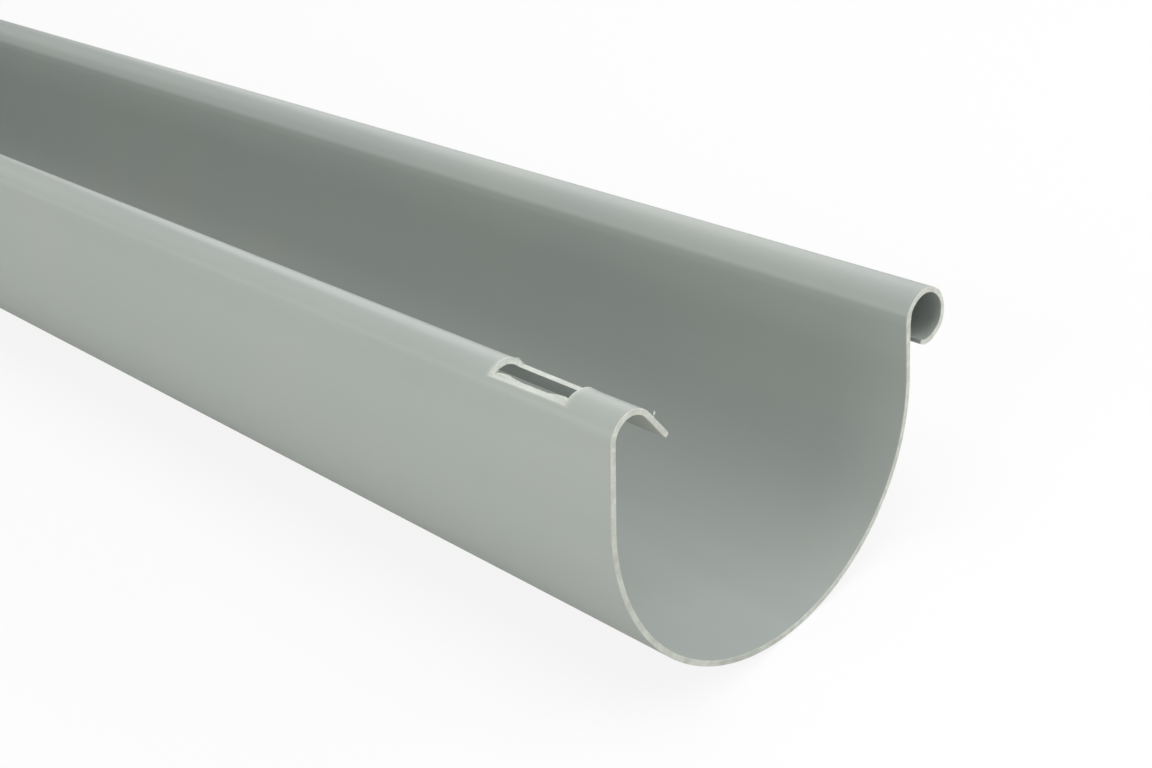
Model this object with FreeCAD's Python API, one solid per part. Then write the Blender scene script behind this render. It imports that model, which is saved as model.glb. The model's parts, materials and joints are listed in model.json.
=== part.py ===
import FreeCAD, Part
import math
import os

from FreeCAD import Vector

# A half-round rain gutter, extruded in one piece from rigid PVC and sawn square at both ends.
# The section is drawn as it hangs on the eaves, looking along +Y from the near end: the back
# wall with its hook at -X, the front wall with its bead at +X, and the origin at the centre of
# the half-round. Millimetres and degrees.

# Channel
LENGTH = 2000.0        # one stock length
CHANNEL_DIA = 125.0    # outside diameter of the half-round, the gutter's nominal size
WALL = 1.7             # wall thickness, the same all the way round the section

# Back wall, and the hook that the rear of a bracket clips over
BACK_HEIGHT = 23.0     # straight and upright, above the centre of the half-round
HOOK_INSIDE_R = 6.15
HOOK_SWEEP = 138.0     # how far the wall turns over, into the trough
LIP_LENGTH = 11.0      # straight run beyond the hook's bend, to the rounded tip

# Front wall, and the bead that stiffens it
FRONT_TURN = 5.7       # the half-round carries on past level by this much, and leans the wall in
FRONT_HEIGHT = 15.0
BEAD_DIA = 18.4        # outside
BEAD_SWEEP = 287.0     # nearly a full curl, open underneath towards the wall

# Notch cut straight across the top of the hook, where a union's tongue snaps in
NOTCH_SETBACK = 19.0   # from the near end
NOTCH_LENGTH = 29.0
NOTCH_DEPTH = 3.2      # floor of the notch, down from the crest of the hook
NOTCH_TILT = 3.8       # the floor falls this much towards the lip

# Middle of the wall: radii and centres of the three bends
channel_r = (CHANNEL_DIA - WALL) / 2
hook_r = HOOK_INSIDE_R + WALL / 2
bead_r = (BEAD_DIA - WALL) / 2


def polar(centre, radius, angle):
    """Point at this angle from +X towards +Z, around a centre in the plane of the section."""
    a = math.radians(angle)
    return centre + Vector(radius * math.cos(a), 0, radius * math.sin(a))


channel_centre = Vector(0, 0, 0)
hook_centre = Vector(hook_r - channel_r, 0, BACK_HEIGHT)
front_top = polar(polar(channel_centre, channel_r, FRONT_TURN), FRONT_HEIGHT, FRONT_TURN + 90)
bead_centre = polar(front_top, bead_r, FRONT_TURN)

lip_angle = 180 - HOOK_SWEEP
bead_angle = FRONT_TURN + 180


def arc(centre, radius, start, sweep):
    """Edge that turns by sweep about a centre, and its two ends."""
    first = polar(centre, radius, start)
    middle = polar(centre, radius, start + sweep / 2)
    last = polar(centre, radius, start + sweep)
    return Part.Arc(first, middle, last).toShape(), first, last


def skin(offset):
    """One face of the wall from the lip to the bead, offset outwards from its middle."""
    hook, lip_root, back_top = arc(hook_centre, hook_r + offset, lip_angle, HOOK_SWEEP)
    channel, back_foot, front_foot = arc(channel_centre, channel_r + offset, 180, 180 + FRONT_TURN)
    bead, wall_top, bead_end = arc(bead_centre, bead_r - offset, bead_angle, -BEAD_SWEEP)
    lip_tip = polar(lip_root, LIP_LENGTH - WALL / 2, lip_angle - 90)
    edges = [
        Part.makeLine(lip_tip, lip_root),
        hook,
        Part.makeLine(back_top, back_foot),
        channel,
        Part.makeLine(front_foot, wall_top),
        bead,
    ]
    return edges, lip_tip, bead_end


# The two skins share their centres, so the wall keeps one thickness through every bend. The
# lip's tip is rounded by the die, and the bead ends in a plain square edge.
outside, tip_outside, end_outside = skin(WALL / 2)
inside, tip_inside, end_inside = skin(-WALL / 2)
tip_middle = (tip_outside + tip_inside) / 2
tip_nose = polar(tip_middle, WALL / 2, lip_angle - 90)
tip = Part.Arc(tip_outside, tip_nose, tip_inside).toShape()
end = Part.makeLine(end_outside, end_inside)

section = Part.Face(Part.Wire(Part.__sortEdges__(outside + [end] + inside + [tip])))
gutter = section.extrude(Vector(0, LENGTH, 0))

# The notch's cutter stands clear above the hook and to both sides of it
hook_outside_r = hook_r + WALL / 2
cutter_reach = hook_outside_r + WALL
notch_floor = hook_centre + Vector(0, NOTCH_SETBACK, hook_outside_r - NOTCH_DEPTH)
cutter = Part.makeBox(
    2 * cutter_reach,
    NOTCH_LENGTH,
    NOTCH_DEPTH + WALL,
    notch_floor - Vector(cutter_reach, 0, 0),
)
cutter.rotate(notch_floor, Vector(0, 1, 0), NOTCH_TILT)
gutter = gutter.cut(cutter)

# Set down on a floor, the gutter rolls on its half-round until its weight hangs straight below
# the centre, which takes the heavier bead side down.
weight = gutter.CenterOfGravity
roll = math.degrees(math.atan2(weight.x, -weight.z))
gutter.rotate(channel_centre, Vector(0, 1, 0), roll)

# Origin under the middle of the length and width, on the floor
box = gutter.BoundBox
gutter.translate(Vector(-box.Center.x, -LENGTH / 2, -box.ZMin))

os.makedirs("parts", exist_ok=True)
gutter.exportStep("parts/gutter.step")
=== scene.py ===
import bpy
import json
import math
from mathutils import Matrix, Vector, noise


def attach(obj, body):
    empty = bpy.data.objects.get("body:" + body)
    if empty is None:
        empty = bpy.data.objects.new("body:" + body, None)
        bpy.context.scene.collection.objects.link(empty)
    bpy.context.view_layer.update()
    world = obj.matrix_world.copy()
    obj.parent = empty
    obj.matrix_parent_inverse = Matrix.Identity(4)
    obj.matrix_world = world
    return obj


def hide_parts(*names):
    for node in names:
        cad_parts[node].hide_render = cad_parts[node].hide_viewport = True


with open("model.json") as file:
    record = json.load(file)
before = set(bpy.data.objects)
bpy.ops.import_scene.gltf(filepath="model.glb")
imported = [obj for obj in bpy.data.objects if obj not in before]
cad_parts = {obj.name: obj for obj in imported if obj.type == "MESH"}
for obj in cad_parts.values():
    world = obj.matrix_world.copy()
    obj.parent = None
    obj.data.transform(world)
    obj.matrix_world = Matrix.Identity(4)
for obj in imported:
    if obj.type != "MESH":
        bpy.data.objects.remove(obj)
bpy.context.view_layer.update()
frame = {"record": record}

# ---------------------------------------------------------------------------------------------
# The gutter's wall. One sheet of rigid grey PVC, 1.7 mm thick, pushed hot through a die that
# gives it the hook, the half-round and the bead in one go. It is drawn here as it hangs on the
# eaves, by leading one long edge round the section, and laid down on its round side at the end.
LENGTH = 2.0
WALL = 0.0017
CHANNEL_R = 0.125 / 2 - WALL / 2
HOOK_R = 0.00615 + WALL / 2
HOOK_SWEEP = 138
LIP_LENGTH = 0.011
BACK_HEIGHT = 0.023
FRONT_TURN = 5.7
FRONT_HEIGHT = 0.015
BEAD_R = 0.0184 / 2 - WALL / 2
BEAD_SWEEP = 287
HOOK_STEPS = 46
CHANNEL_STEPS = 96
FRONT_STEPS = 6
BEAD_STEPS = 123
WELD = 0.000001
ON_EDGE = 0.00003


def deselect_all():
    if bpy.context.mode != "OBJECT":
        bpy.ops.object.mode_set(mode="OBJECT")
    bpy.ops.object.select_all(action="DESELECT")


def edit_edges(piece, chosen):
    """Goes into edit mode with just the edges selected whose two ends pass the test."""
    bpy.ops.object.mode_set(mode="OBJECT")
    mesh = piece.data
    for part in (*mesh.polygons, *mesh.vertices):
        part.select = False
    for edge in mesh.edges:
        start, stop = (mesh.vertices[v].co for v in edge.vertices)
        edge.select = chosen(start, stop)
    bpy.ops.object.mode_set(mode="EDIT")
    bpy.ops.mesh.select_mode(type="EDGE")


def long_edge(point):
    """Test for the edge that runs the gutter's length through this point of the section."""

    def beside(corner):
        return abs(corner.x - point.x) < ON_EDGE and abs(corner.z - point.z) < ON_EDGE

    def test(start, stop):
        return beside(start) and beside(stop) and abs(start.y - stop.y) > LENGTH / 2

    return test


def polar(centre, radius, angle):
    """Point of the section at this angle in degrees, turned from the bead's side upwards."""
    turn = math.radians(angle)
    return centre + Vector((radius * math.cos(turn), 0, radius * math.sin(turn)))


channel_centre = Vector((0, 0, 0))
hook_centre = Vector((HOOK_R - CHANNEL_R, 0, BACK_HEIGHT))
front_foot = polar(channel_centre, CHANNEL_R, FRONT_TURN)
front_top = polar(front_foot, FRONT_HEIGHT, FRONT_TURN + 90)
bead_centre = polar(front_top, BEAD_R, FRONT_TURN)
lip_angle = 180 - HOOK_SWEEP
lip_root = polar(hook_centre, HOOK_R, lip_angle)
lip_tip = polar(lip_root, LIP_LENGTH, lip_angle - 90)

deselect_all()
bpy.ops.mesh.primitive_plane_add(
    size=1, location=(lip_root + lip_tip) / 2, rotation=(0, math.radians(90 - lip_angle), 0)
)
gutter = bpy.context.object
gutter.name = "gutter_length"
gutter.scale = (LIP_LENGTH, LENGTH, 1)
bpy.ops.object.transform_apply(location=True, rotation=True, scale=True)

edit_edges(gutter, long_edge(lip_root))
bpy.ops.mesh.spin(
    steps=HOOK_STEPS, angle=math.radians(HOOK_SWEEP), center=hook_centre, axis=(0, 1, 0)
)
bpy.ops.mesh.extrude_region_move(TRANSFORM_OT_translate={"value": (0, 0, -BACK_HEIGHT)})
bpy.ops.mesh.spin(
    steps=CHANNEL_STEPS,
    angle=math.radians(180 + FRONT_TURN),
    center=channel_centre,
    axis=(0, 1, 0),
)
front_step = (front_top - front_foot) / FRONT_STEPS
for _ in range(FRONT_STEPS):
    bpy.ops.mesh.extrude_region_move(TRANSFORM_OT_translate={"value": front_step})
bpy.ops.mesh.spin(
    steps=BEAD_STEPS, angle=math.radians(BEAD_SWEEP), center=bead_centre, axis=(0, -1, 0)
)
bpy.ops.mesh.select_all(action="SELECT")
bpy.ops.mesh.remove_doubles(threshold=WELD)
bpy.ops.mesh.normals_make_consistent(inside=False)
bpy.ops.object.mode_set(mode="OBJECT")

# The sheet gets its wall, half to each side.
wall = gutter.modifiers.new("wall", "SOLIDIFY")
wall.thickness = WALL
wall.offset = 0
wall.use_even_offset = True
bpy.ops.object.modifier_apply(modifier="wall")

# The bead cools a little out of round. It has a sharp shoulder where it leaves the wall, which
# thickens towards it, is thinner and bulges slightly at the front, and its free edge curls
# inwards. Places round the bead are in degrees from its root, and run on down the wall below 0.
ON_SKIN = 0.00002
SHOULDER = 0.00025
SHOULDER_AT = 22
SHOULDER_WIDTH = 8
ROOT_GAIN = 0.0004
ROOT_AT = 12
ROOT_WIDTH_UP = 12
ROOT_WIDTH_DOWN = 50
BULGE = 0.0004
BULGE_AT = 210
BULGE_WIDTH = 20
THINNING = 0.0003
THINNING_AT = 170
THINNING_WIDTH = 22
TAIL_START = 255
TAIL_IN_OUTSIDE = 0.0008
TAIL_IN_INSIDE = 0.00033


def hump(at, middle, width):
    """Smooth rise from 0 to 1 at the middle and back, about as wide as its width each way."""
    return math.exp(-(((at - middle) / width) ** 2))


root_out = (bead_centre - front_top).normalized()
for vertex in gutter.data.vertices:
    arm = vertex.co - bead_centre
    arm.y = 0
    below = -arm.dot(front_step.normalized())
    round_bead = (FRONT_TURN + 180 - math.degrees(math.atan2(arm.z, arm.x))) % 360
    from_curl = arm.length - BEAD_R
    from_wall = -arm.dot(root_out) - BEAD_R
    if abs(abs(from_curl) - WALL / 2) < ON_SKIN and round_bead < BEAD_SWEEP + 1:
        turned, outwards, outer = round_bead, arm.normalized(), from_curl > 0
    elif abs(abs(from_wall) - WALL / 2) < ON_SKIN and 0 < below < FRONT_HEIGHT:
        turned, outwards, outer = -math.degrees(below / BEAD_R), -root_out, from_wall > 0
    else:
        continue
    tail = max(0, (turned - TAIL_START) / (BEAD_SWEEP - TAIL_START)) ** 2
    change = BULGE * hump(turned, BULGE_AT, BULGE_WIDTH)
    if outer:
        change += SHOULDER * hump(turned, SHOULDER_AT, SHOULDER_WIDTH) - TAIL_IN_OUTSIDE * tail
    else:
        root_width = ROOT_WIDTH_UP if turned > ROOT_AT else ROOT_WIDTH_DOWN
        change += THINNING * hump(turned, THINNING_AT, THINNING_WIDTH)
        change -= ROOT_GAIN * hump(turned, ROOT_AT, root_width) + TAIL_IN_INSIDE * tail
    vertex.co += outwards * change

# The die rounds the lip's tip.
TIP_R = 0.49 * WALL
TIP_STEPS = 5

tip_edges = [long_edge(polar(lip_tip, WALL / 2, lip_angle + side)) for side in (0, 180)]
edit_edges(gutter, lambda start, stop: any(test(start, stop) for test in tip_edges))
bpy.ops.mesh.bevel(offset=TIP_R, segments=TIP_STEPS, affect="EDGES")
bpy.ops.object.mode_set(mode="OBJECT")

# ---------------------------------------------------------------------------------------------
# The two ends and the free edge of the bead. The stock is sawn square with a fine blade, which
# leaves a thin broken edge, and the bead's own edge comes nearly square from the die.
SHARP = 60
SAW_BREAK = 0.00009
RIM = 0.0004
near_end = -LENGTH / 2

bpy.ops.object.mode_set(mode="EDIT")
bpy.ops.mesh.select_all(action="DESELECT")
bpy.ops.mesh.edges_select_sharp(sharpness=math.radians(SHARP))
bpy.ops.mesh.bevel(offset=SAW_BREAK, segments=1, affect="EDGES")
bpy.ops.object.mode_set(mode="OBJECT")

skin = bpy.data.materials.new("pvc_skin")
sawn = bpy.data.materials.new("pvc_sawn")
milled = bpy.data.materials.new("pvc_milled")
notch_end_lit = bpy.data.materials.new("pvc_notch_end")
finishes = (skin, sawn, milled, notch_end_lit)
for finish in finishes:
    gutter.data.materials.append(finish)


def cut_across(face):
    return abs(face.normal.y) > 0.5


for face in gutter.data.polygons:
    if cut_across(face):
        face.material_index = finishes.index(sawn)

# ---------------------------------------------------------------------------------------------
# The notch. A slot cutter run across the hook takes its top off down to one flat floor, which
# falls a little towards the lip. It leaves a cut edge on the back wall and one on the lip, with
# slight chatter from its feed, and a hand-fed twist along the way.
NOTCH_SETBACK = 0.019
NOTCH_LENGTH = 0.029
NOTCH_DEPTH = 0.0032
NOTCH_TILT = 3.8
NOTCH_TWIST = 1.6
CHATTER = 0.00006
CHATTER_STEPS = 60
CHATTER_ACROSS = 90
CHATTER_ALONG = 900
LOOPS_BEFORE = (0.0008, 0.002, 0.004)
LOOPS_BEYOND = (0.0006, 0.0014, 0.004)

hook_outside = HOOK_R + WALL / 2
hook_inside = HOOK_R - WALL / 2
notch_start = near_end + NOTCH_SETBACK
notch_stop = notch_start + NOTCH_LENGTH
notch_floor = hook_centre + Vector(
    (0, (notch_start + notch_stop) / 2, hook_outside - NOTCH_DEPTH)
)

end_loops = [end * (LENGTH / 2 - RIM) for end in (-1, 1)]
notch_loops = [notch_start - step for step in LOOPS_BEFORE]
notch_loops += [notch_stop + step for step in LOOPS_BEYOND]
for cut_at in end_loops + notch_loops:
    bpy.ops.object.mode_set(mode="EDIT")
    bpy.ops.mesh.select_all(action="SELECT")
    bpy.ops.mesh.bisect(plane_co=(0, cut_at, 0), plane_no=(0, 1, 0))
    bpy.ops.object.mode_set(mode="OBJECT")

cutter_height = NOTCH_DEPTH + WALL
deselect_all()
bpy.ops.mesh.primitive_cube_add(size=1, location=(0, 0, cutter_height / 2))
cutter = bpy.context.object
cutter.scale = (2 * (hook_outside + WALL), NOTCH_LENGTH, cutter_height)
bpy.ops.object.transform_apply(location=True, rotation=True, scale=True)
cutter.data.materials.append(milled)
edit_edges(cutter, lambda start, stop: abs(start.y - stop.y) > NOTCH_LENGTH / 2)
bpy.ops.mesh.subdivide(number_cuts=CHATTER_STEPS)
bpy.ops.object.mode_set(mode="OBJECT")
for vertex in cutter.data.vertices:
    if vertex.co.z < cutter_height / 2:
        wave = Vector((vertex.co.x * CHATTER_ACROSS, vertex.co.y * CHATTER_ALONG, 0))
        jog = noise.noise(wave)
        lean = math.radians(NOTCH_TWIST) * vertex.co.x * vertex.co.y / (NOTCH_LENGTH / 2)
        vertex.co.z += CHATTER * jog + lean
cutter.rotation_euler = (0, math.radians(NOTCH_TILT), 0)
cutter.location = notch_floor
bpy.ops.object.transform_apply(location=True, rotation=True, scale=True)

deselect_all()
bpy.context.view_layer.objects.active = gutter
gutter.select_set(True)
milling = gutter.modifiers.new("notch", "BOOLEAN")
milling.operation = "DIFFERENCE"
milling.solver = "EXACT"
milling.material_mode = "TRANSFER"
milling.object = cutter
bpy.ops.object.modifier_apply(modifier="notch")
bpy.data.objects.remove(cutter)

# Painted light: the milled faces that face across the gutter, the notch's end faces, get a paler
# copy of the milled finish.
for face in gutter.data.polygons:
    if face.material_index == finishes.index(milled) and cut_across(face):
        face.material_index = finishes.index(notch_end_lit)

# The heat and push of the cutter raise the hook's crest a little at both ends of the notch.
UPSET_AT = 66
UPSET_WIDTH = 16
UPSET_NEAR = 0.00020
UPSET_NEAR_REACH = 0.0018
UPSET_FAR = 0.00012
UPSET_FAR_REACH = 0.0012

for vertex in gutter.data.vertices:
    arm = vertex.co - hook_centre
    arm.y = 0
    if abs(arm.length - hook_outside) < ON_SKIN:
        crest = hump(math.degrees(math.atan2(arm.z, arm.x)), UPSET_AT, UPSET_WIDTH)
        if vertex.co.y <= notch_start:
            rise = UPSET_NEAR * hump(vertex.co.y, notch_start, UPSET_NEAR_REACH)
        else:
            rise = UPSET_FAR * hump(vertex.co.y, notch_stop, UPSET_FAR_REACH)
        vertex.co += arm.normalized() * crest * rise

# ---------------------------------------------------------------------------------------------
# The burrs. The cutter leaves ribbons of torn plastic on the edges that it comes out of: a wavy
# one along the floor's inner edge, short ones round the arch where it stops, and a loose hair
# on the sawn edge of the lip. All are part of the gutter and thinner than a fingernail.
BURR = 0.00016
RIBBON_STEPS = 4
ROOTED = 0.0001
FINE = 0.0001


def ribbon(name, root, reach, steps):
    """Thin strip with its rooted edge at root(along) and its free edge reach(along) away."""
    deselect_all()
    bpy.ops.mesh.primitive_grid_add(x_subdivisions=RIBBON_STEPS, y_subdivisions=steps, size=1)
    strip = bpy.context.object
    strip.name = name
    for vertex in strip.data.vertices:
        across, along = vertex.co.x + 0.5, vertex.co.y + 0.5
        vertex.co = root(along) + across * reach(along)
    thickness = strip.modifiers.new("thickness", "SOLIDIFY")
    thickness.thickness = BURR
    thickness.offset = 0
    bpy.ops.object.modifier_apply(modifier="thickness")
    for finish in finishes:
        strip.data.materials.append(finish)
    for face in strip.data.polygons:
        face.material_index = finishes.index(milled)
    return strip


def rough(along, seed, often):
    return noise.noise(Vector((along * often, seed, 0)))


# The ribbon on the floor's inner edge is widest near both ends. Each swell has its size, its place
# along the notch and its width, and each ripple its size, its seed and how often it comes.
FLOOR_BURR_AT = -0.0039
FLOOR_BURR = 0.0005
FLOOR_BURR_SWELLS = ((0.0011, 0.12, 0.13), (0.0006, 0.86, 0.1))
FLOOR_BURR_RIPPLES = ((0.00018, 3, 18), (0.00008, 5, 70))
FLOOR_BURR_FLUTTER = (9, 25)
FLOOR_BURR_LIFT = 0.3
FLOOR_BURR_STEPS = 120


def floor_edge(along):
    y = notch_start + along * NOTCH_LENGTH
    z = notch_floor.z - math.radians(NOTCH_TILT) * FLOOR_BURR_AT - ROOTED
    return Vector((hook_centre.x + FLOOR_BURR_AT, y, z))


def floor_burr(along):
    width = FLOOR_BURR
    width += sum(size * hump(along, at, wide) for size, at, wide in FLOOR_BURR_SWELLS)
    width += sum(size * rough(along, seed, often) for size, seed, often in FLOOR_BURR_RIPPLES)
    flutter = FINE * rough(along, *FLOOR_BURR_FLUTTER)
    return Vector((width, 0, FLOOR_BURR_LIFT * width + flutter))


# The two ribbons round the arch come and go, and the outer one has a lump that stands proud.
ARCH_BURR = 0.0002
ARCH_BURR_STEPS = 90
ARCH_INSIDE = (128, 46)
ARCH_OUTSIDE = (140, 38)
TORN = 0.4
TORN_RIPPLES = ((1, 14), (0.5, 40))
LUMP = 0.0004
LUMP_AT = 0.82
LUMP_WIDTH = 0.07
LUMP_RIPPLES = 45
ARCH_FLUTTER = 30


def arch_edge(radius, start, stop):
    def root(along):
        at = polar(hook_centre, radius, start + (stop - start) * along)
        return Vector((at.x, notch_stop + 2 * ROOTED, at.z))

    return root


def arch_burr(size, seed, lump):
    def reach(along):
        torn = TORN + sum(share * rough(along, seed, often) for share, often in TORN_RIPPLES)
        width = ARCH_BURR + size * max(0, torn)
        proud = lump * hump(along, LUMP_AT, LUMP_WIDTH)
        proud *= 1 + rough(along, seed + 2, LUMP_RIPPLES)
        flutter = 0.4 * FINE * rough(along, seed + 1, ARCH_FLUTTER)
        return Vector((proud / 2, -width, proud + flutter))

    return reach


# The hair stands on the lip's outer edge at the sawn end and curls over at its top.
HAIR = 0.0002
HAIR_AT = 0.0026
HAIR_HEIGHT = 0.0016
HAIR_LEAN = Vector((0.0003, 0.0002, 0))
HAIR_CURL = 0.0007
HAIR_CURL_AT = 0.7
HAIR_CURL_WIDTH = 0.2
HAIR_CURL_WAY = Vector((1, 0.3, -0.4))
HAIR_STEPS = 24

hair_foot = polar(polar(lip_root, WALL / 2, lip_angle), HAIR_AT, lip_angle - 90)
hair_foot += Vector((0, near_end + 3 * ROOTED, -ROOTED))


def hair_root(along):
    lean = Vector((HAIR_LEAN.x * along**2, HAIR_LEAN.y * along, HAIR_HEIGHT * along))
    return hair_foot + lean


def hair_reach(along):
    curl = HAIR_CURL * hump(along, HAIR_CURL_AT, HAIR_CURL_WIDTH)
    return Vector((HAIR, 0, 0)) + curl * HAIR_CURL_WAY


inside_root = arch_edge(hook_inside + BURR / 2, *ARCH_INSIDE)
outside_root = arch_edge(hook_outside - BURR / 2, *ARCH_OUTSIDE)
burrs = [
    ribbon("saw_hair", hair_root, hair_reach, HAIR_STEPS),
    ribbon("burr_floor", floor_edge, floor_burr, FLOOR_BURR_STEPS),
    ribbon("burr_arch_in", inside_root, arch_burr(0.00025, 11, 0), ARCH_BURR_STEPS),
    ribbon("burr_arch_out", outside_root, arch_burr(0.00035, 23, LUMP), ARCH_BURR_STEPS),
]

deselect_all()
for strip in burrs:
    strip.select_set(True)
gutter.select_set(True)
bpy.context.view_layer.objects.active = gutter
bpy.ops.object.join()

# Cutting whitens the skin beside the sawn ends and round the notch, one painted highlight line
# runs below the hook's bend, painted bounce light brightens the inside of the hook at its near
# end, and handling leaves the sawn ends dingy in places. All are kept as values on the mesh, for
# the finishes.
HALO = 0.0012
HALO_DOWNWARDS = HALO / 2
HIGHLIGHT_LINE_AT = 156
HIGHLIGHT_LINE_WIDTH = 5
BOUNCE_LIGHT_REACH = 0.019
INNER_SIDE = -0.3 * WALL
DINGY_SIZE = 0.033
DINGY_SEED = 102.49

value_names = ("whitened", "highlight_line", "bounce_light", "clean")
for name in value_names:
    gutter.data.attributes.new(name, "FLOAT", "POINT")
whitened, highlight_line, bounce_light, clean = (gutter.data.attributes[name].data for name in value_names)
lip_out = polar(Vector((0, 0, 0)), 1, lip_angle)
floor_up = Vector((math.sin(math.radians(NOTCH_TILT)), 0, math.cos(math.radians(NOTCH_TILT))))
for vertex in gutter.data.vertices:
    arm = vertex.co - hook_centre
    angle = math.degrees(math.atan2(arm.z, arm.x))
    distance = math.hypot(arm.x, arm.z)
    if abs(distance - hook_outside) < ON_SKIN:
        # painted highlight: a paler line along the hook's outer skin, below its bend
        highlight_line[vertex.index].value = hump(angle, HIGHLIGHT_LINE_AT, HIGHLIGHT_LINE_WIDTH)
    # painted bounce light: the inside of the hook and the lip's underside are paler towards the
    # near end
    in_bend = abs(distance - hook_inside) < ON_SKIN
    under_lip = angle < lip_angle and (vertex.co - lip_root).dot(lip_out) < INNER_SIDE
    if (in_bend or under_lip) and vertex.co.z > 0 and vertex.co.x < lip_tip.x + WALL:
        bounce_light[vertex.index].value = max(1 - (vertex.co.y - near_end) / BOUNCE_LIGHT_REACH, 0)
    spot = Vector((vertex.co.x / DINGY_SIZE, DINGY_SEED, vertex.co.z / DINGY_SIZE))
    clean[vertex.index].value = noise.noise(spot)
    rim = max(1 - (LENGTH / 2 - abs(vertex.co.y)) / RIM, 0)
    beyond = max(notch_start - vertex.co.y, vertex.co.y - notch_stop, 0)
    aside = max(abs(arm.x) - hook_outside, 0)
    below = max((notch_floor - vertex.co).dot(floor_up), 0)
    halo = max(1 - math.hypot(aside / HALO, beyond / HALO, below / HALO_DOWNWARDS), 0)
    whitened[vertex.index].value = max(rim, halo if angle > lip_angle + 1 else 0)

# ---------------------------------------------------------------------------------------------
# The gutter's finishes. The skin is smooth and half glossy from the die, with faint lines and
# bands along its length. Cut PVC is paler and dull: finely torn where it is sawn, and whitened
# by the heat of the cutter where it is milled, and the notch's end faces are painted paler
# still, as painted light.
SKIN_GREY = (0.372, 0.398, 0.374)
SKIN_COOL = (0.352, 0.386, 0.366)
SAWN_GREY = (0.665, 0.685, 0.620)
SAWN_DARK = (0.520, 0.538, 0.475)
MILLED_GREY = (0.555, 0.580, 0.535)
MILLED_DARK = (0.500, 0.525, 0.480)
MILLED_LIT = (0.710, 0.725, 0.665)
WHITENING = 0.55
DINGY = 0.13
# the painted highlight line's gain, then the painted bounce light's colour and how far it covers
HIGHLIGHT_LINE_GAIN = 1.05
BOUNCE_LIGHT_PALE = (0.650, 0.640, 0.510)
BOUNCE_LIGHT_COVER = 0.45
SKIN_ROUGHNESS = (0.34, 0.44)
CUT_ROUGHNESS = (0.62, 0.88)
PVC_IOR = 1.53
NOISE_RANGE = (0.35, 0.65)


def node_tree(material):
    material.use_nodes = True
    tree = material.node_tree
    return tree, tree.nodes["Principled BSDF"]


def grain(tree, scale, stretch=(1, 1, 1), detail=2.0):
    """Noise fixed to the piece, drawn out along an axis where its stretch is small."""
    coords = tree.nodes.new("ShaderNodeTexCoord")
    mapping = tree.nodes.new("ShaderNodeMapping")
    mapping.inputs["Scale"].default_value = stretch
    texture = tree.nodes.new("ShaderNodeTexNoise")
    texture.inputs["Scale"].default_value = scale
    texture.inputs["Detail"].default_value = detail
    tree.links.new(coords.outputs["Object"], mapping.inputs["Vector"])
    tree.links.new(mapping.outputs["Vector"], texture.inputs["Vector"])
    return texture.outputs["Fac"]


def spread(tree, value, low, high, limits=NOISE_RANGE):
    """Maps a value between the limits to the range from low to high."""
    mapped = tree.nodes.new("ShaderNodeMapRange")
    mapped.inputs["From Min"].default_value = limits[0]
    mapped.inputs["From Max"].default_value = limits[1]
    mapped.inputs["To Min"].default_value = low
    mapped.inputs["To Max"].default_value = high
    tree.links.new(value, mapped.inputs["Value"])
    return mapped.outputs["Result"]


def tint(tree, value, first, second):
    """Colour between two, by a noise value."""
    mix = tree.nodes.new("ShaderNodeMix")
    mix.data_type = "RGBA"
    mix.inputs["A"].default_value = (*first, 1)
    mix.inputs["B"].default_value = (*second, 1)
    tree.links.new(spread(tree, value, 0, 1), mix.inputs["Factor"])
    return mix.outputs["Result"]


def mesh_value(tree, name):
    """Value kept on the mesh under this name."""
    attribute = tree.nodes.new("ShaderNodeAttribute")
    attribute.attribute_name = name
    return attribute.outputs["Fac"]


def pale_where(tree, colour, value, pale, most):
    """Colour that goes towards a paler one as a value on the mesh goes to 1."""
    mix = tree.nodes.new("ShaderNodeMix")
    mix.data_type = "RGBA"
    tree.links.new(colour, mix.inputs["A"])
    mix.inputs["B"].default_value = (*pale, 1)
    tree.links.new(spread(tree, value, 0, most, (0, 1)), mix.inputs["Factor"])
    return mix.outputs["Result"]


def tone(tree, colour, value, low, high, limits=NOISE_RANGE):
    """Colour made darker or paler by a value mapped to a range about 1."""
    scaled = tree.nodes.new("ShaderNodeVectorMath")
    scaled.operation = "SCALE"
    tree.links.new(colour, scaled.inputs[0])
    tree.links.new(spread(tree, value, low, high, limits), scaled.inputs["Scale"])
    return scaled.outputs["Vector"]


def relief(tree, value, height, below=None):
    """Bump of this height in metres, on top of another."""
    bump = tree.nodes.new("ShaderNodeBump")
    bump.inputs["Strength"].default_value = 1
    bump.inputs["Distance"].default_value = height
    tree.links.new(value, bump.inputs["Height"])
    if below:
        tree.links.new(below, bump.inputs["Normal"])
    return bump.outputs["Normal"]


# The skin, with hair-fine lines and wide bands drawn along the gutter, soft clouds and a slight
# peel.
LINES_STRETCH = (1, 0.004, 1)
BANDS_STRETCH = (1, 0.03, 1)
LINES_HEIGHT = 0.000006
PEEL_HEIGHT = 0.000004

tree, shader = node_tree(skin)
lines = grain(tree, scale=900, stretch=LINES_STRETCH, detail=3)
bands = grain(tree, scale=70, stretch=BANDS_STRETCH)
clouds = grain(tree, scale=9)
peel = grain(tree, scale=650)
colour = tint(tree, clouds, SKIN_GREY, SKIN_COOL)
colour = tone(tree, colour, bands, low=0.985, high=1.015)
# painted highlight: the skin is paler along the line below the hook's bend
colour = tone(tree, colour, mesh_value(tree, "highlight_line"), 1, HIGHLIGHT_LINE_GAIN, (0, 1))
colour = pale_where(tree, colour, mesh_value(tree, "whitened"), SAWN_GREY, WHITENING)
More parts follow.
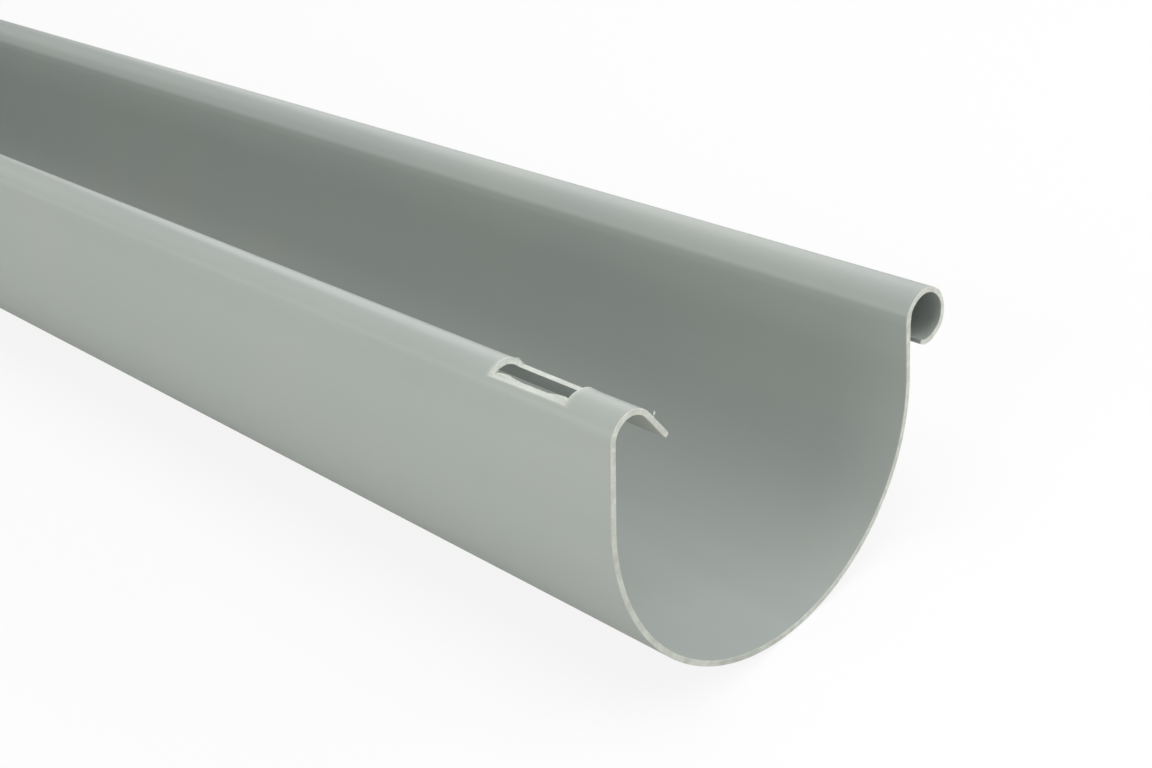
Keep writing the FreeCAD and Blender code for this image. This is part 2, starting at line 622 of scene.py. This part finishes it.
# painted bounce light: paler and warmer inside the hook at its near end
colour = pale_where(tree, colour, mesh_value(tree, "bounce_light"), BOUNCE_LIGHT_PALE, BOUNCE_LIGHT_COVER)
tree.links.new(colour, shader.inputs["Base Color"])
tree.links.new(spread(tree, bands, *SKIN_ROUGHNESS), shader.inputs["Roughness"])
normal = relief(tree, peel, PEEL_HEIGHT)
normal = relief(tree, lines, LINES_HEIGHT, normal)
tree.links.new(normal, shader.inputs["Normal"])
shader.inputs["IOR"].default_value = PVC_IOR

# The cut faces, in patches of two tones, painted darker low down and paler high up as painted
# shade, and dingier where they were handled.
SHADE_HEIGHTS = (0, 0.1)
HANDLED = (-0.7, 0.7)
TORN_HEIGHT = 0.00006


def reach_along(tree, axis):
    """How far along X, Y or Z the piece's surface lies, in metres."""
    coords = tree.nodes.new("ShaderNodeTexCoord")
    split = tree.nodes.new("ShaderNodeSeparateXYZ")
    tree.links.new(coords.outputs["Object"], split.inputs["Vector"])
    return split.outputs[axis]


def cut_finish(material, first, second, patch, grit, stretch=(1, 1, 1), dingy=0):
    tree, shader = node_tree(material)
    torn = grain(tree, grit, stretch, detail=4)
    colour = tint(tree, grain(tree, patch), first, second)
    colour = tone(tree, colour, grain(tree, patch / 4), low=0.93, high=1.04)
    # painted shade: the cut faces are darker towards the bottom and paler towards the top
    colour = tone(tree, colour, reach_along(tree, "Z"), 0.86, 1.10, SHADE_HEIGHTS)
    colour = tone(tree, colour, mesh_value(tree, "clean"), 1 - dingy, 1 + dingy, HANDLED)
    colour = tone(tree, colour, torn, low=0.93, high=1.06)
    tree.links.new(colour, shader.inputs["Base Color"])
    tree.links.new(spread(tree, torn, *CUT_ROUGHNESS), shader.inputs["Roughness"])
    tree.links.new(relief(tree, torn, TORN_HEIGHT), shader.inputs["Normal"])


cut_finish(sawn, SAWN_GREY, SAWN_DARK, patch=260, grit=1500, dingy=DINGY)
cut_finish(milled, MILLED_GREY, MILLED_DARK, patch=500, grit=1900, stretch=(1, 0.4, 1))
# painted light: a paler copy of the milled finish for the notch's end faces
cut_finish(notch_end_lit, MILLED_LIT, MILLED_GREY, patch=500, grit=1900)

# Laid on the floor, the gutter rolls on its round side until the bead's weight is balanced, to
# where the frame holds its bead and the line that it rests on.
SMOOTH_BELOW = 25

mounts = {mount["name"]: Vector(mount["pos_m"]) for mount in frame["record"]["mounts"]}
rest_centre = mounts["cradle"] + Vector((0, 0, CHANNEL_R + WALL / 2))
bead_at = mounts["bead_bore"] - rest_centre
roll = math.atan2(bead_centre.z, bead_centre.x) - math.atan2(bead_at.z, bead_at.x)

deselect_all()
bpy.context.view_layer.objects.active = gutter
gutter.select_set(True)
gutter.rotation_euler = (0, roll, 0)
gutter.location = rest_centre
bpy.ops.object.transform_apply(location=True, rotation=True, scale=True)
bpy.ops.object.shade_smooth_by_angle(angle=math.radians(SMOOTH_BELOW))

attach(gutter, "root")
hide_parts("gutter")

# ---------------------------------------------------------------------------------------------
# The studio: a white floor that keeps the gutter's soft shadow and fades to plain white away from
# it, large soft boxes that stand round the gutter's near half, low on most sides, and narrower
# beams on its far half.
FLOOR_SIZE = 30
FLOOR_DROP = 0.0002
FLOOR_GREY = (0.60, 0.60, 0.60, 1)
FLOOR_ROUGHNESS = 0.9
WHITE = (1, 1, 1, 1)
FLOOR_GLOW = 0.8
GLOW_STRENGTH = 1.07
FADE = (1.2, 2.0)
SKY_STRENGTH = 0.25
BOX_SIZE = 1.2
BOX_DISTANCE = 1.7
BOX_AIM = Vector((0, -0.95, 0.03))
LEFT_AIM = Vector((0, -0.75, 0.03))
FAR_AIM = Vector((0, 1.1, 0.03))
WARM = (1, 1, 0.955)

deselect_all()
bpy.ops.mesh.primitive_plane_add(size=FLOOR_SIZE, location=(0, 0, -FLOOR_DROP))
floor = bpy.context.object
floor.name = "floor"

paper = bpy.data.materials.new("studio_paper")
floor.data.materials.append(paper)
tree, shader = node_tree(paper)
shader.inputs["Base Color"].default_value = FLOOR_GREY
shader.inputs["Roughness"].default_value = FLOOR_ROUGHNESS
shader.inputs["Specular IOR Level"].default_value = 0
glow = tree.nodes.new("ShaderNodeEmission")
glow.inputs["Color"].default_value = WHITE
glow.inputs["Strength"].default_value = GLOW_STRENGTH
seen = tree.nodes.new("ShaderNodeLightPath")
coords = tree.nodes.new("ShaderNodeTexCoord")
away = tree.nodes.new("ShaderNodeVectorMath")
away.operation = "LENGTH"
tree.links.new(coords.outputs["Object"], away.inputs[0])
share = tree.nodes.new("ShaderNodeMath")
share.operation = "MULTIPLY"
blend = tree.nodes.new("ShaderNodeMixShader")
tree.links.new(seen.outputs["Is Camera Ray"], share.inputs[0])
tree.links.new(spread(tree, away.outputs["Value"], FLOOR_GLOW, 1, FADE), share.inputs[1])
tree.links.new(share.outputs["Value"], blend.inputs["Fac"])
tree.links.new(shader.outputs["BSDF"], blend.inputs[1])
tree.links.new(glow.outputs["Emission"], blend.inputs[2])
tree.links.new(blend.outputs["Shader"], tree.nodes["Material Output"].inputs["Surface"])

sky = bpy.data.worlds.new("studio_sky")
bpy.context.scene.world = sky
sky.use_nodes = True
tree = sky.node_tree
air = tree.nodes["Background"]
air.inputs["Color"].default_value = WHITE
air.inputs["Strength"].default_value = SKY_STRENGTH
white = tree.nodes.new("ShaderNodeBackground")
white.inputs["Color"].default_value = WHITE
white.inputs["Strength"].default_value = 1
seen = tree.nodes.new("ShaderNodeLightPath")
blend = tree.nodes.new("ShaderNodeMixShader")
tree.links.new(seen.outputs["Is Camera Ray"], blend.inputs["Fac"])
tree.links.new(air.outputs["Background"], blend.inputs[1])
tree.links.new(white.outputs["Background"], blend.inputs[2])
tree.links.new(blend.outputs["Shader"], tree.nodes["World Output"].inputs["Surface"])


def soft_box(name, bearing, height, power, colour=WHITE[:3], aim=BOX_AIM, beam=180):
    """Bearing in degrees from the front towards the bead's side, height and beam in degrees."""
    turn, rise = math.radians(bearing), math.radians(height)
    level = math.cos(rise)
    stand = Vector((math.sin(turn) * level, -math.cos(turn) * level, math.sin(rise)))
    place = aim + stand * BOX_DISTANCE
    bpy.ops.object.light_add(type="AREA", location=place)
    lamp = bpy.context.object
    lamp.name = name
    lamp.data.shape = "SQUARE"
    lamp.data.size = BOX_SIZE
    lamp.data.energy = power
    lamp.data.color = colour
    lamp.data.spread = math.radians(beam)
    lamp.visible_camera = False
    lamp.rotation_euler = (aim - place).to_track_quat("-Z", "Y").to_euler()


soft_box("overhead_box", bearing=0, height=90, power=13.5)
soft_box("front_box", bearing=0, height=50, power=4.7)
soft_box("front_left_box", bearing=-45, height=22, power=0.7)
soft_box("front_right_box", bearing=45, height=22, power=17.0)
soft_box("left_box", bearing=-90, height=22, power=15.1, colour=WARM, aim=LEFT_AIM)
soft_box("back_right_box", bearing=135, height=22, power=6.2)
soft_box("far_overhead_box", bearing=0, height=90, power=1.2, aim=FAR_AIM, beam=60)
soft_box("far_left_box", bearing=-90, height=22, power=1.0, aim=FAR_AIM, beam=60)
soft_box("far_right_box", bearing=90, height=22, power=1.0, aim=FAR_AIM, beam=60)
soft_box("far_end_box", bearing=180, height=40, power=0.8, aim=FAR_AIM, beam=50)

# ---------------------------------------------------------------------------------------------
# The camera stands to the hook's side of the near end and looks down into the channel, leaning
# a little, so that the gutter seems to hang level.
CAMERA_PLACE = (-0.28746, -1.28174, 0.34624)
CAMERA_TURN = (57.1873, 10.9494, -44.5920)
CAMERA_LENS = 54.748
CAMERA_SENSOR = 36
CAMERA_NEAREST = 0.01

bpy.ops.object.camera_add(
    location=CAMERA_PLACE, rotation=[math.radians(angle) for angle in CAMERA_TURN]
)
camera = bpy.context.object
camera.name = "camera"
camera.data.lens = CAMERA_LENS
camera.data.sensor_width = CAMERA_SENSOR
camera.data.clip_start = CAMERA_NEAREST
bpy.context.scene.camera = camera

bpy.context.scene.view_settings.view_transform = "Standard"
